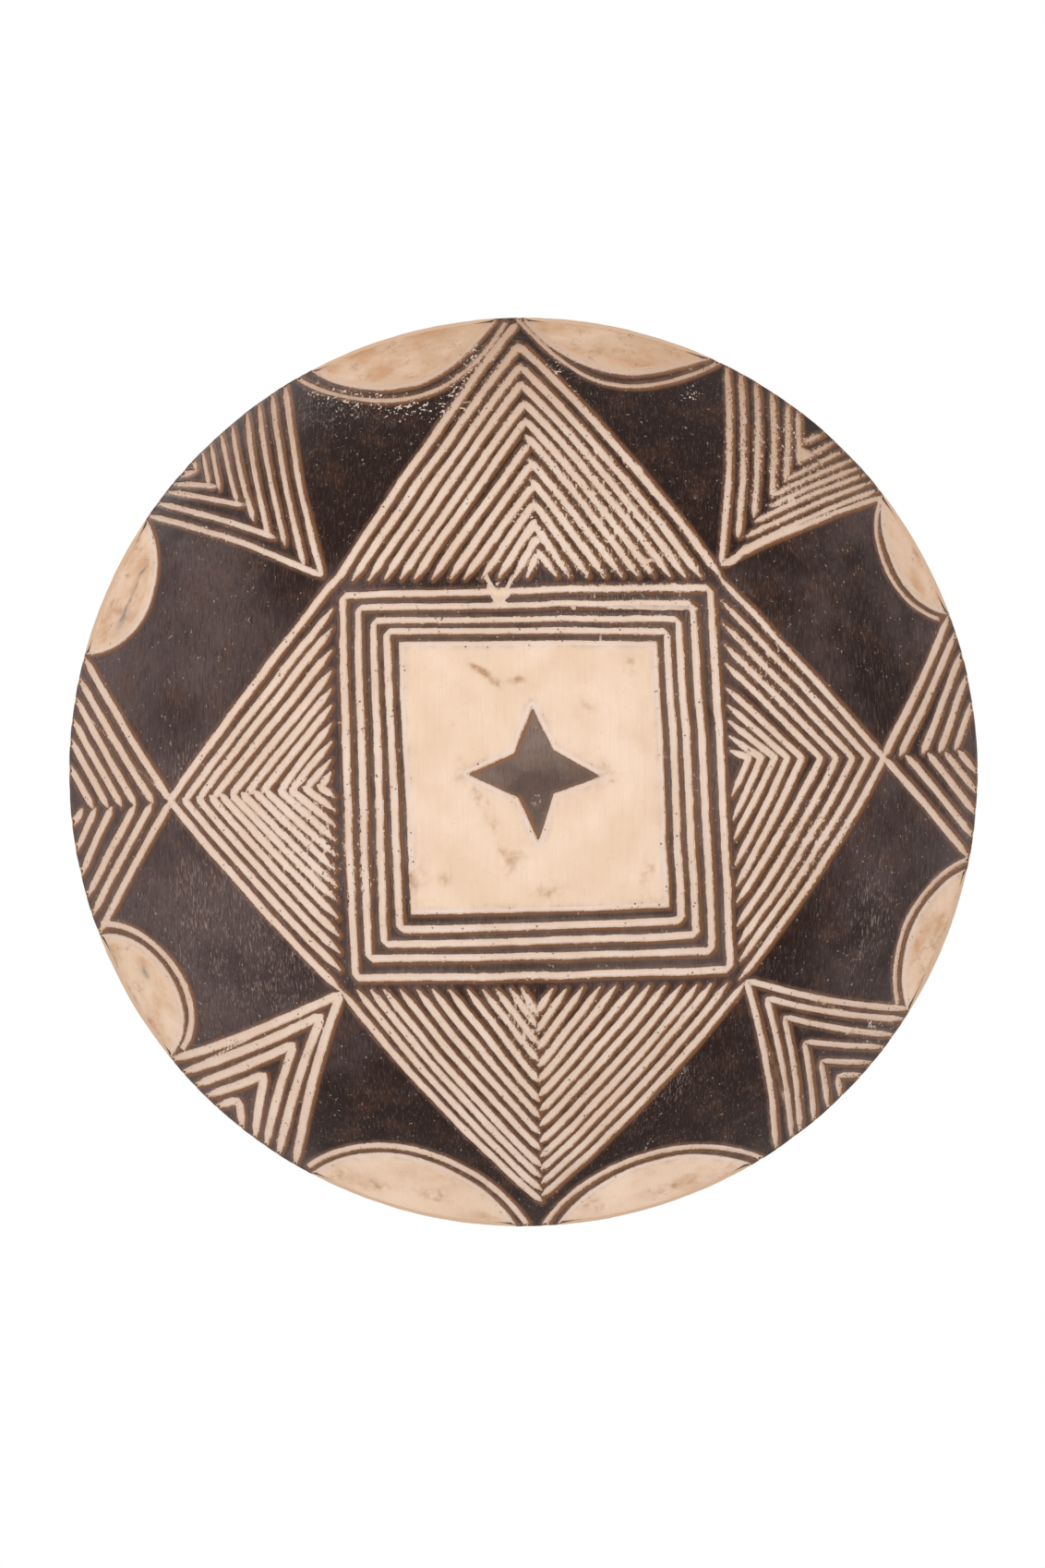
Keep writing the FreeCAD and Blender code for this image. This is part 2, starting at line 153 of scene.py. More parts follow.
def inside_radius(z):
    centre = BOTTOM_THICKNESS + INSIDE_SPHERE
    return math.sqrt(INSIDE_SPHERE**2 - (centre - z) ** 2)


def outside_radius(z):
    return math.sqrt(SPHERE**2 - (CENTRE_Z - z) ** 2)


def disc_grid(cells, radius):
    """Plan points of a square grid bent smoothly into a disc."""
    line = np.linspace(-1, 1, cells + 1)
    u, v = np.meshgrid(line, line, indexing="ij")
    return radius * u * np.sqrt(1 - v * v / 2), radius * v * np.sqrt(1 - u * u / 2)


def border(cells):
    """Indices of the vertices round the edge of such a grid, anticlockwise."""
    n = cells + 1
    k = np.arange(cells)
    bottom = k * n
    right = cells * n + k
    top = (cells - k) * n + cells
    left = cells - k
    return np.concatenate([bottom, right, top, left])


# Reading the pattern from the CAD nodes ------------------------------------------------------------

def triangles(name):
    """A node's triangles in mm, as an array (triangle, corner, axis)."""
    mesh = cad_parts[name].data
    mesh.calc_loop_triangles()
    points = np.empty(len(mesh.vertices) * 3)
    mesh.vertices.foreach_get("co", points)
    corners = np.empty(len(mesh.loop_triangles) * 3, int)
    mesh.loop_triangles.foreach_get("vertices", corners)
    return points.reshape(-1, 3)[corners.reshape(-1, 3)] / MM


def plan_tree(faces):
    points = faces.reshape(-1, 3).copy()
    points[:, 2] = 0
    return BVHTree.FromPolygons(points.tolist(), np.arange(len(points)).reshape(-1, 3).tolist())


def read_pattern():
    """Plan trees of the lands' tops and of the walls between lands and grooves, and each top's land."""
    tops, owners, walls = [], [], []
    for number, name in enumerate(LANDS):
        faces = triangles(name)
        normal = np.cross(faces[:, 1] - faces[:, 0], faces[:, 2] - faces[:, 0])
        size = np.linalg.norm(normal, axis=1)
        faces, normal = faces[size > 1e-9], (normal / np.maximum(size, 1e-12)[:, None])[size > 1e-9]
        top = faces[normal[:, 2] < -0.2]
        tops.append(top)
        owners += [number] * len(top)
        walls.append(faces[np.abs(normal[:, 2]) < 0.05])
    tops, walls = np.concatenate(tops), np.concatenate(walls)
    top_tree = plan_tree(tops)

    plan = walls[:, :, :2]
    sides = plan[:, [1, 2, 0]] - plan
    longest = np.argmax(np.linalg.norm(sides, axis=2), axis=1)
    rows = np.arange(len(plan))
    start, along = plan[rows, longest], sides[rows, longest]
    length = np.linalg.norm(along, axis=1)
    start, along, length = start[length > 1e-3], along[length > 1e-3], length[length > 1e-3]

    def in_a_land(p):
        return top_tree.find_nearest((p[0], p[1], 0))[3] < 1e-3

    points, ribbons = [], []
    for first, way, size in zip(start, along, length):
        across = np.array([-way[1], way[0]]) / size * 0.05
        pieces = math.ceil(size / WALL_PIECE)
        for k in range(pieces):
            (x0, y0), (x1, y1) = first + way * k / pieces, first + way * (k + 1) / pieces
            middle = first + way * (k + 0.5) / pieces
            if in_a_land(middle + across) and in_a_land(middle - across):
                continue                             # two motifs meet here, and there is no groove
            points += [(x0, y0, -1), (x1, y1, -1), (x1, y1, 1), (x0, y0, 1)]
            ribbons.append(tuple(range(len(points) - 4, len(points))))
    return top_tree, np.array(owners), BVHTree.FromPolygons(points, ribbons)


def measure(x, y):
    """For each plan point: signed distance to the nearest wall (positive on a land), the nearest land,
    and how nearly the way from the wall to the point leads towards BROWN_SIDE."""
    top_tree, owners, wall_tree = read_pattern()
    flat_x, flat_y = x.ravel(), y.ravel()
    distance, owner, side = np.empty(x.size), np.empty(x.size, int), np.empty(x.size)
    for k, (px, py) in enumerate(zip(flat_x.tolist(), flat_y.tolist())):
        place, _, face, gap = top_tree.find_nearest((px, py, 0))
        owner[k] = owners[face]
        if gap < 1e-3:
            place, _, _, gap = wall_tree.find_nearest((px, py, 0))
            distance[k] = gap
        else:
            distance[k] = -gap
        side[k] = ((px - place.x) * BROWN_SIDE[0] + (py - place.y) * BROWN_SIDE[1]) / max(gap, 0.05)
    return distance.reshape(x.shape), owner.reshape(x.shape), side.reshape(x.shape)


# Chips and hand wobble -----------------------------------------------------------------------------

# Where a splinter or a slip of the knife took some black away: x, y, half length, half width, angle.
# A chip comes out at about 0.7 of these half sizes.
CHIPS = [
    (-18.5, -104.5, 10, 2.6, 69), (-7.7, -106.2, 6.5, 2.0, 116), (-13.4, -98.6, 6.8, 6.4, 0),
    (75, -91.8, 40, 1.3, 0), (118.5, -119.6, 7, 2.6, -25), (127, -127, 3.6, 3.4, -45),
    (164, -187, 5.5, 3.6, -30), (191, 152, 5, 1.3, -20), (37, -103.5, 2.4, 0.7, 80),
    (46, -104, 2.4, 0.7, 85), (68, -104, 2.4, 0.7, 95), (83.5, -104.5, 2.8, 0.8, 85),
    (93, -104.5, 2.4, 0.8, 60), (40, -98.5, 2, 0.9, 70), (67, -99, 2, 0.8, 60), (88, -99.5, 2, 0.8, 110),
    (43, -74.8, 2.4, 1.0, 80),
    (-14.5, -75, 2.2, 0.7, 90), (62, 218, 3.5, 0.9, -40), (28, -91.5, 2, 1.2, 20), (62, -127, 4, 1.5, 20),
    (70, -119, 3.5, 1.6, -10), (96, -88, 1.8, 1, 90),
]

# Where the cuts came out wider or narrower than drawn: x, y, half length, half width, angle, mm each side.
CUT_WIDTHS = [
    (7, -88, 150, 22, 0, -0.55), (7, 105, 110, 14, 0, -0.2), (-175, -180, 60, 60, 0, -0.42),
    (-165, 170, 55, 55, 0, 0.3), (168, 172, 55, 55, 0, -0.28),
]

# Where the knife tore the fibres: x, y, half length, half width, angle.
TORN = [
    (55, -135, 60, 34, 35), (30, -118, 34, 14, 0), (40, -165, 34, 26, 50), (-25, -235, 30, 22, -40),
    (-112, 40, 34, 28, 30), (-95, 60, 16, 20, 0), (150, -180, 40, 40, 0), (140, -60, 22, 30, -40),
    (0, 140, 14, 34, 0), (165, 40, 20, 30, 0), (-180, -139, 16, 6, 20),
]


def cut_width(x, y):
    """How much wider the cuts are, on each side, than in the CAD nodes."""
    return GENEROUS + sum(spot[5] * blob(x, y, spot[:5]) for spot in CUT_WIDTHS)


def tear(x, y):
    """How torn the edges of the cuts are."""
    return np.clip(0.22 + sum(blob(x, y, spot) for spot in TORN), 0, 1.2)


def hand_cut(x, y):
    """The pattern as cut by hand: distance to the walls, land, and side, at each plan point."""
    r = np.hypot(x, y)
    shrink = np.minimum(1, PATTERN_RADIUS / np.maximum(r, 1e-6))
    qx = x * shrink + DRIFT * noise(x, y, 21, 1) + JITTER * noise(x, y, 6, 2)
    qy = y * shrink + DRIFT * noise(x, y, 23, 3) + JITTER * noise(x, y, 6.5, 4)
    distance, owner, side = measure(qx, qy)
    ragged = tear(x, y)
    distance += UNEVEN * noise(x, y, 9, 5) - cut_width(x, y)
    distance += ragged * (0.16 * noise(x, y, 2.2, 6, 2.0) + 0.12 * noise(x, y, 1.2, 7, 2.5))
    splinter = smooth_step(0.62, 0.9, noise(x, y, 2.6, 8, 1.6)) * smooth_step(2.2, 0.2, np.abs(distance))
    distance -= SPLINTER_DEPTH * splinter * ragged
    for spot in CHIPS:
        distance -= CHIP_DEPTH * smooth_step(0.35, 0.8, blob(x, y, spot) + 0.12 * noise(x, y, 1.6, 9))
    return distance, owner, side


# Mesh making ---------------------------------------------------------------------------------------

def build(name, points, faces, attributes=None):
    """A smooth mesh object from points in mm and arrays of faces, each array with its own corner count."""
    mesh = bpy.data.meshes.new(name)
    loops = np.concatenate([f.ravel() for f in faces])
    counts = np.concatenate([np.full(len(f), f.shape[1]) for f in faces])
    mesh.vertices.add(len(points))
    mesh.vertices.foreach_set("co", (points * MM).astype(np.float32).ravel())
    mesh.loops.add(len(loops))
    mesh.loops.foreach_set("vertex_index", loops.astype(np.int32))
    mesh.polygons.add(len(counts))
    mesh.polygons.foreach_set("loop_start", (np.cumsum(counts) - counts).astype(np.int32))
    mesh.update(calc_edges=True)
    mesh.shade_smooth()
    for key, values in (attributes or {}).items():
        layer = mesh.attributes.new(key, "FLOAT", "POINT")
        layer.data.foreach_set("value", values.astype(np.float32))
    piece = bpy.data.objects.new(name, mesh)
    bpy.context.scene.collection.objects.link(piece)
    return piece


def cells_of(grid):
    """Corner indices of every cell of a grid, as an array (row, column, corner)."""
    index = np.arange((grid + 1) ** 2).reshape(grid + 1, grid + 1)
    return np.stack([index[:-1, :-1], index[1:, :-1], index[1:, 1:], index[:-1, 1:]], axis=-1)


def walls_round(mask):
    """Pairs of grid vertices along the outline of a mask of cells, with the mask on the left."""
    n = mask.shape[0]
    index = np.arange((n + 1) ** 2).reshape(n + 1, n + 1)
    padded = np.zeros((n + 2, n + 2), bool)
    padded[1:-1, 1:-1] = mask
    pairs = []
    for di, dj, a, b in NEIGHBOURS:
        i, j = np.nonzero(mask & ~padded[1 + di:n + 1 + di, 1 + dj:n + 1 + dj])
        pairs.append(np.stack([index[i + a[0], j + a[1]], index[i + b[0], j + b[1]]], axis=1))
    return np.concatenate(pairs)


def land_depth(s):
    """Depth of a land's surface: almost flat on top, rounded at its edge, hidden beyond it."""
    top = EDGE_DEPTH * np.exp(-np.maximum(s, 0) / EDGE_ROUNDING)
    return np.where(s >= 0, top, body_floor(s) - UNDERCUT * s)


def body_floor(s):
    """Depth of a groove at distance -s from its wall, with a rounded floor."""
    t = np.clip(-s / FLOOR_REACH, 0, 1)
    return EDGE_DEPTH + (FLOOR_DEPTH - EDGE_DEPTH) * (1 - (1 - t) ** 2)


def body_depth(s):
    """Depth of the body's surface: the grooves' floors, and hidden just below the lands."""
    hidden = land_depth(np.maximum(s, 0)) + UNDERCUT * np.minimum(np.maximum(s, 0), HIDDEN_REACH)
    return np.where(s >= 0, hidden, body_floor(s))


# The relief ----------------------------------------------------------------------------------------

class Relief:
    """The carved outside on one shared grid, from which the body and every land are made."""

    def __init__(self):
        self.x, self.y = disc_grid(GRID, GRID_RADIUS)
        self.r = np.hypot(self.x, self.y)
        self.s, self.owner, self.side = hand_cut(self.x, self.y)
        self.z, self.upright = outside(self.r)
        self.cells = cells_of(GRID)

    def at_depth(self, depth):
        z = np.minimum(self.z + depth * self.upright, LIP_UNDERSIDE + TUCK)
        return np.stack([self.x, self.y, z], axis=-1).reshape(-1, 3)


def make_body(relief):
    """The pale wood: the grooves outside, a flat under the lip, and the hollow with its tool marks."""
    x, y, s = relief.x, relief.y, relief.s
    outer = relief.at_depth(carved_depth(x, y, s))
    hollow, marks = make_hollow()
    count = len(outer)
    outer_cells = relief.cells.reshape(-1, 4)[:, ::-1]
    hollow_cells = cells_of(INSIDE_GRID).reshape(-1, 4) + count
    rim, mouth = border(GRID), border(INSIDE_GRID) + count
    step = GRID // INSIDE_GRID
    k = np.arange(len(mouth))
    corners = [rim[(k * step + i) % len(rim)] for i in range(step + 1)]
    top = np.stack(corners + [mouth[(k + 1) % len(mouth)], mouth], axis=1)
    ridge = np.clip(0.5 + marks / (2 * STROKE_DEPTH), 0, 1)

    def both(outside_values, inside_values=0.0):
        return np.concatenate([outside_values.ravel(), np.broadcast_to(inside_values, len(hollow))])

    return build("bowl_body_carved", np.concatenate([outer, hollow]), [outer_cells, hollow_cells, top], {
        "sd": both(s, -20.0), "side": both(relief.side), "hollow": both(np.zeros(count), 1.0),
        "spot": both(spots(x, y)), "grey": both(cracks(x, y)), "painted_rim_shade": both(painted_rim_shade(x, y)),
        "pitted": both(pitted(x, y)), "torn": both(tear(x, y)), "mark": both(np.zeros(count), ridge),
    })


def carved_depth(x, y, s):
    """Depth of the pale wood, uneven from the gouge in the cuts and from the knife in open wood."""
    gouging = 0.10 * noise(x, y, 7, 20, 2.5) + 0.05 * noise(x, y, 2.2, 21, 3)
    depth = body_depth(s) + np.where(s < 0, smooth_step(0, -1.5, s) * gouging, 0)
    return depth + 0.12 * smooth_step(-2.5, -6, s) * noise(x, y, 16, 22)


def make_hollow():
    """Points of the inside, and how high each stands in its tool mark."""
    x, y = disc_grid(INSIDE_GRID, inside_radius(LIP_UNDERSIDE))
    r = np.hypot(x, y)
    marks = tool_marks(x, y, r)
    fade = smooth_step(INSIDE_RIM - 4, INSIDE_RIM - 16, r)
    return np.stack([x, y, inside(r) + marks * fade], axis=-1).reshape(-1, 3), marks.ravel()


def tool_marks(x, y, r):
    """Shallow hollows left by the adze, in rings about the bowl's axis."""
    angle = np.arctan2(y, x)
    rings = np.floor(r / STROKE_LENGTH)
    stroke = np.maximum(6, np.round(rings * 5.2))
    turn = (angle / (2 * math.pi) + 0.37 * rings) * stroke
    u = 2 * (turn - np.floor(turn)) - 1
    v = 2 * (r / STROKE_LENGTH - rings) - 1
    bowl_of_stroke = (1 - u * u) * (1 - v * v)
    depth = STROKE_DEPTH * bowl_of_stroke * (0.75 + 0.25 * noise(x, y, 30, 30))
    return 0.45 * STROKE_DEPTH - depth + 0.08 * noise(x, y, 9, 31)


# Stains on the pale wood: x, y, half length, half width, angle.
STAINS = [
    (-22, -54, 10, 3.5, 30), (-14, -48, 9, 2.5, 25), (-27, -60, 7, 3, 35), (-6, -50, 8, 3, 15),
    (34, -38, 7, 4, 20), (-7, 54, 5, 10, 10), (-15, 34, 4, 16, -25), (-25, 15, 4, 9, -30),
    (-42, 57, 6, 8, 0), (47, 2, 10, 8, 0), (-2, 44, 7, 4, 20), (-35, 2, 6, 9, 0),
    (62, -60, 6, 7, 40), (-60, 60, 9, 10, 0), (70, 58, 5, 16, 0), (12, 68, 14, 5, 0),
    (-62, -248, 22, 4, -10), (-40, -243, 12, 5, -30), (-98, -238, 12, 6, 20), (48, -247, 18, 5, 10),
    (86, -250, 12, 5, 20), (10, -262, 6, 4, 0), (-246, -118, 5, 16, 12), (-238, -95, 6, 12, 0),
    (-231, -140, 6, 10, 30), (-232, 131, 8, 14, -20), (-219, 150, 8, 10, -40), (-246, 108, 6, 10, 0),
    (232, -128, 5, 12, 20), (246, -106, 6, 7, 0), (243, 98, 7, 14, 20), (238, 122, 7, 9, 30),
    (88, 243, 20, 5, -8), (45, 255, 14, 6, -20), (120, 236, 8, 5, -20), (-88, 243, 24, 6, 8),
    (-48, 251, 16, 6, 20), (-112, 236, 8, 5, 30), (-20, 262, 8, 4, 30),
]

# Grey cracks and bruises in it, in the same terms.
CRACKS = [
    (-228, -108, 15, 0.9, -68), (-233, -96, 9, 0.8, -62), (-223, -118, 6, 0.9, -50), (-236, -88, 8, 3, -60),
    (-243, 112, 3, 9, -15), (-232, 134, 2.5, 8, -35), (-222, 118, 2, 6, -30),
]


def spots(x, y):
    """Brown smudges and water marks, broken up so that none looks round."""
    total = sum(blob(x + 3 * noise(x, y, 9, 40), y + 3 * noise(x, y, 9, 41), spot) for spot in STAINS)
    broken = 0.55 + 0.45 * noise(x, y, 4.5, 42) + 0.25 * noise(x, y, 1.8, 43)
    return np.clip(total * broken, 0, 1)


def cracks(x, y):
    """Grey weather cracks and bruises in the two scallops on the left."""
    total = sum(blob(x + 0.8 * noise(x, y, 4, 50), y, spot) for spot in CRACKS)
    return np.clip(total * (0.75 + 0.5 * noise(x, y, 2.5, 51)), 0, 1)


# Where the cut wood is pitted: x, y, half length, half width, angle.
PITTED = [
    (128, -215, 24, 34, 0), (150, -200, 22, 24, 0), (205, 172, 22, 40, 45), (130, -150, 12, 12, 0),
    (-205, -165, 16, 16, 0), (215, 90, 16, 16, 0), (160, 150, 14, 14, 0), (-228, -135, 10, 10, 0),
]


def pitted(x, y):
    """Where the cut wood has small dark holes."""
    return np.clip(sum(blob(x, y, spot) for spot in PITTED), 0, 1)


def painted_rim_shade(x, y):
    """Painted shade on the cut wood: darker towards the rim, and most of all at the front."""
    edge = smooth_step(150, 262, np.hypot(x, y))
    front, right, back = smooth_step(-130, -250, y), smooth_step(-100, 200, x), smooth_step(60, 240, y)
    return edge * (0.36 + 0.5 * front + 0.1 * right - 0.24 * back + 0.12 * noise(x, y, 26, 44))


def painted_sheen_and_grey(x, y):
    """Greyness of the black, painted sheen at the sides and grey in the middle: most on the left and in the
    middle, a little on the right, least at the front and the back."""
    left = smooth_step(-50, -190, x) * smooth_step(-190, -90, y)
    right = smooth_step(60, 200, x)
    middle = smooth_step(135, 105, np.maximum(np.abs(x - 6), np.abs(y - 4)))
    return np.clip(0.9 * left + 0.32 * right + 0.62 * middle + 0.2 * noise(x, y, 34, 45), 0, 1)


# Where the black is rubbed and specked: x, y, half length, half width, angle.
WORN = [
    (-80, -211, 36, 8, 8), (-40, -219, 16, 6, -38), (-36, -205, 12, 8, 0), (-112, -222, 14, 8, 30),
    (-92, -217, 40, 5, 6), (98, -222, 7, 7, 0), (20, -232, 14, 5, 60), (-13, -107, 7, 4, 0),
    (-2, -140, 8, 16, 0), (152, -196, 12, 18, 0), (-30, -240, 14, 8, -50),
    (206, 150, 12, 10, 30), (0, -118, 16, 5, 0), (11, -20, 13, 3, 55), (7, 18, 8, 8, 0),
]

# Where it is scratched, in the same terms.
RUBBED = [
    (-112, -208, 26, 12, 0), (-175, 88, 55, 60, 0), (-140, 115, 30, 22, 0), (-190, 5, 16, 30, 0),
    (200, 80, 16, 40, 0), (-20, -222, 20, 16, 0), (60, -90, 60, 20, 0), (80, 180, 30, 14, -40),
]


def wear(x, y):
    """Where the black has flaked off in specks."""
    return np.clip(sum(blob(x, y, spot) for spot in WORN) + 0.06, 0, 1)


def rubbed(x, y):
    """Where fine upright scratches show in the black."""
    return np.clip(sum(blob(x, y, spot) for spot in RUBBED) + 0.18, 0, 1)


def make_land(relief, number, name):
    """One motif's black lands: its cells of the relief, closed below, under the body's surface."""
    x, y, s = relief.x, relief.y, relief.s
    reach = np.max(s.ravel()[relief.cells], axis=-1)
    mask = (relief.owner[:-1, :-1] == number) & (reach > -OVERLAP)
    surface = 0.16 + 0.09 * noise(x, y, 17, 60) + 0.04 * noise(x, y, 5, 61, 2)
    surface += 0.03 * noise(x, y, 1.5, 62, 6)
    depth = land_depth(s) + np.where(s > 0, np.clip(surface, 0, 0.4) * smooth_step(0, 1.2, s), 0)
    top = relief.at_depth(np.minimum(depth, LAND_BOTTOM - LAND_THICKNESS))
    bottom = relief.at_depth(np.full(s.shape, LAND_BOTTOM))
    bottom[:, 2] = np.maximum(bottom[:, 2], top[:, 2] + 0.1)

    cells = relief.cells[mask]
    used = np.unique(cells)
    new = np.zeros((GRID + 1) ** 2, int)
    new[used] = np.arange(len(used))
    outline = new[walls_round(mask)]
    n = len(used)
    walls = np.stack([outline[:, 0], outline[:, 1], outline[:, 1] + n, outline[:, 0] + n], axis=1)
    faces = [new[cells][:, ::-1], new[cells] + n, walls]

    def twice(values):
        return np.tile(values.ravel()[used], 2)

    return build(name + "_carved", np.concatenate([top[used], bottom[used]]), faces, {
        "sd": twice(s), "side": twice(relief.side), "wear": twice(wear(x, y)),
        "painted_sheen_and_grey": twice(painted_sheen_and_grey(x, y)), "rubbed": twice(rubbed(x, y)), "torn": twice(tear(x, y)),
    })


def lip_profile():
    """The lip's section as (radius, height): up the outer side, over the top, down inside, back below."""
    edge, top, low = EDGE_RADIUS, HEIGHT, LIP_UNDERSIDE
    inner = inside_radius(HEIGHT)
    return [
        (outside_radius(low), low), (edge - 0.22, 142.95), (edge - 0.02, 143.3), (edge - 0.3, 143.7),
        (edge - 1.0, top - 0.05), (edge - 3.0, top), (inner + 6.0, top), (inner + 2.0, top - 0.1),
        (inner + 0.6, top - 0.35), (inner - 0.2, top - 0.9), (inside_radius(low) - 0.1, low - 0.1),
        (inner + 3.0, low - 0.6), (edge - 4.0, low),
    ]


def make_lip(relief):
    """The dark lip: a band with a rounded edge, turned over onto the top. The carving runs on over it."""
    side_rows, top_rows, carved_rows = range(5), range(3, 10), range(4)
    profile, turns = lip_profile(), LIP_TURNS
    angle = np.arange(turns) * 2 * math.pi / turns
    cx, cy = np.cos(angle), np.sin(angle)
    level = np.zeros(turns)
    rings = []
    for row, (r, z) in enumerate(profile):
        dent = 0.12 + 0.16 * noise(cx * r, cy * r, 12, 70) + 0.1 * noise(cx * r, cy * r, 3, 71)
        dent = np.clip(dent, 0, 0.5)
        inwards = dent if row in side_rows else level
        down = dent if row in top_rows else level
        rings.append(np.stack([cx * (r - inwards), cy * (r - inwards), z - down * 0.6], axis=1))
    points = np.concatenate(rings)

    k, i = np.meshgrid(np.arange(len(profile)), np.arange(turns), indexing="ij")
    after, beside = (k + 1) % len(profile), (i + 1) % turns
    corners = [k * turns + i, k * turns + beside, after * turns + beside, after * turns + i]
    faces = np.stack(corners, axis=-1).reshape(-1, 4)

    edge = border(GRID)
    way_round = np.arctan2(relief.y.ravel()[edge], relief.x.ravel()[edge])
    carving = np.minimum(np.interp(angle, way_round, relief.s.ravel()[edge], period=2 * math.pi), 2.0)
    uncarved = np.full(turns, 10.0)
    rows = [carving if row in carved_rows else uncarved for row in range(len(profile))]
    specked = np.clip(0.6 * noise(points[:, 0], points[:, 1], 6, 72), 0, 1)
    return build("rim_lip_worn", points, [faces], {"wear": specked, "sd": np.concatenate(rows)})


# Materials -----------------------------------------------------------------------------------------

class Material:
    """A node material, with short calls for the nodes that these woods share."""

    def __init__(self, name):
        self.data = bpy.data.materials.new(name)
        self.data.use_nodes = True
        self.tree = self.data.node_tree
        self.shader = self.tree.nodes["Principled BSDF"]
        self.place = self.add("ShaderNodeTexCoord").outputs["Object"]

    def add(self, kind, inputs=None, **settings):
        node = self.tree.nodes.new(kind)
        for key, value in settings.items():
            setattr(node, key, value)
        for key, value in (inputs or {}).items():
            if isinstance(value, bpy.types.NodeSocket):
                self.tree.links.new(value, node.inputs[key])
            else:
                node.inputs[key].default_value = value
        return node

    def attribute(self, name):
        return self.add("ShaderNodeAttribute", attribute_name=name).outputs["Fac"]

    def stretched(self, x, y, z):
        return self.add("ShaderNodeMapping", {"Vector": self.place, "Scale": (x, y, z)}).outputs[0]

    def noise(self, scale, detail=3.0, rough=0.55, vector=None):
        inputs = {"Vector": vector or self.place, "Scale": scale, "Detail": detail, "Roughness": rough}
        return self.add("ShaderNodeTexNoise", inputs).outputs[0]

    def ramp(self, value, low, high, start=0.0, end=1.0):
        inputs = {"Value": value, "From Min": low, "From Max": high, "To Min": start, "To Max": end}
        return self.add("ShaderNodeMapRange", inputs, interpolation_type="SMOOTHSTEP").outputs[0]

    def combine(self, kind, values):
        total = values[0]
        for value in values[1:]:
            total = self.add("ShaderNodeMath", {0: total, 1: value}, operation=kind).outputs[0]
        return total

    def plus(self, *values):
        return self.combine("ADD", values)

    def minus(self, *values):
        return self.combine("SUBTRACT", values)

    def times(self, *values):
        return self.combine("MULTIPLY", values)

    def magnitude(self, value):
        return self.combine("ABSOLUTE", (value, 0.0))

    def mix(self, factor, a, b, kind="MIX"):
        def colour(value):
            return value if isinstance(value, bpy.types.NodeSocket) else (*value, 1.0)
        inputs = {0: factor, 6: colour(a), 7: colour(b)}
        return self.add("ShaderNodeMix", inputs, data_type="RGBA", blend_type=kind).outputs[2]

    def finish(self, colour, roughness, bump, strength, distance):
        link = self.tree.links.new
        link(colour, self.shader.inputs["Base Color"])
        link(roughness, self.shader.inputs["Roughness"])
        normal = self.add("ShaderNodeBump", {"Height": bump, "Strength": strength, "Distance": distance})
        link(normal.outputs[0], self.shader.inputs["Normal"])
        return self.data


def cut_colour(m, sd, painted_rim_shade):
    """Cream with fine upright grain, darkened by painted shade towards the rim, mottled and veined in the
    open scallops.
    """
    grain = m.noise(300.0, 3.0, 0.6, m.stretched(3.0, 0.16, 0.5))
    mottle = m.noise(220.0, 4.0, 0.65)
    colour = m.mix(m.ramp(m.noise(28.0, 4.0), 0.35, 0.68), (0.80, 0.585, 0.425), (0.86, 0.655, 0.50))
    # Painted shade: towards the rim the cut wood goes to this darker tan.
    colour = m.mix(painted_rim_shade, colour, (0.56, 0.355, 0.225))

    open_wood = m.ramp(sd, -3.0, -6.5)
    scallop = m.times(open_wood, m.ramp(painted_rim_shade, 0.05, 0.4))
    smudge = m.times(m.ramp(m.noise(38.0, 6.0, 0.6), 0.42, 0.68), m.ramp(scallop, 0.0, 1.0, 0.08, 0.75))
    colour = m.mix(m.times(smudge, open_wood), colour, (0.50, 0.25, 0.115))
    light = m.times(m.ramp(m.noise(52.0, 5.0, 0.6), 0.45, 0.7), scallop, 0.5)
    colour = m.mix(light, colour, (0.76, 0.56, 0.42))
    vein = m.ramp(m.magnitude(m.minus(m.noise(60.0, 5.0, 0.6), 0.5)), 0.0, 0.012, 1.0, 0.0)
    vein = m.times(vein, scallop, m.ramp(m.noise(90.0, 2.0), 0.5, 0.62), 0.7)
    colour = m.mix(vein, colour, (0.22, 0.12, 0.07))

    colour = m.mix(m.ramp(grain, 0.42, 0.75, 0.0, 0.16), colour, (0.62, 0.42, 0.27))
    colour = m.mix(m.ramp(mottle, 0.55, 0.85, 0.0, 0.4), colour, (0.60, 0.38, 0.24))
    pinker = m.mix(1.0, colour, (0.95, 1.0, 1.12), "MULTIPLY")
    groove = m.ramp(sd, -5.0, -2.8)
    return m.mix(m.times(groove, 0.85), colour, pinker), grain, mottle


def burnt_walls(m, colour, sd):
    """Black and brown on the walls of the cuts, barbed where the fibres tore, and a faint brown band a
    little way from them.
    """
    barb = m.noise(620.0, 4.0, 0.7, m.stretched(1.0, 0.55, 0.7))
    reach = m.times(m.ramp(barb, 0.5, 0.72), m.plus(m.times(m.attribute("torn"), 1.1), 0.15))
    black = m.times(m.ramp(m.plus(sd, reach), -0.12, 0.12), m.ramp(sd, -2.0, -0.6))
    colour = m.mix(black, colour, (0.075, 0.040, 0.026))
    away = m.ramp(m.attribute("side"), 0.4, -0.9, 0.1, 0.85)
    brown = m.times(m.ramp(sd, -1.25, -0.05), away, m.ramp(m.noise(160.0), 0.2, 0.6))
    colour = m.mix(brown, colour, (0.36, 0.165, 0.07))
    # A faint brown band in the cut wood, about 2 to 6 mm out from the walls.
    wall_band = m.times(m.ramp(sd, -6.5, -2.6), m.ramp(sd, -2.0, -3.2))
    wall_band = m.times(wall_band, m.ramp(m.noise(90.0), 0.4, 0.7, 0.0, 0.35))
    return m.mix(wall_band, colour, (0.50, 0.31, 0.19))


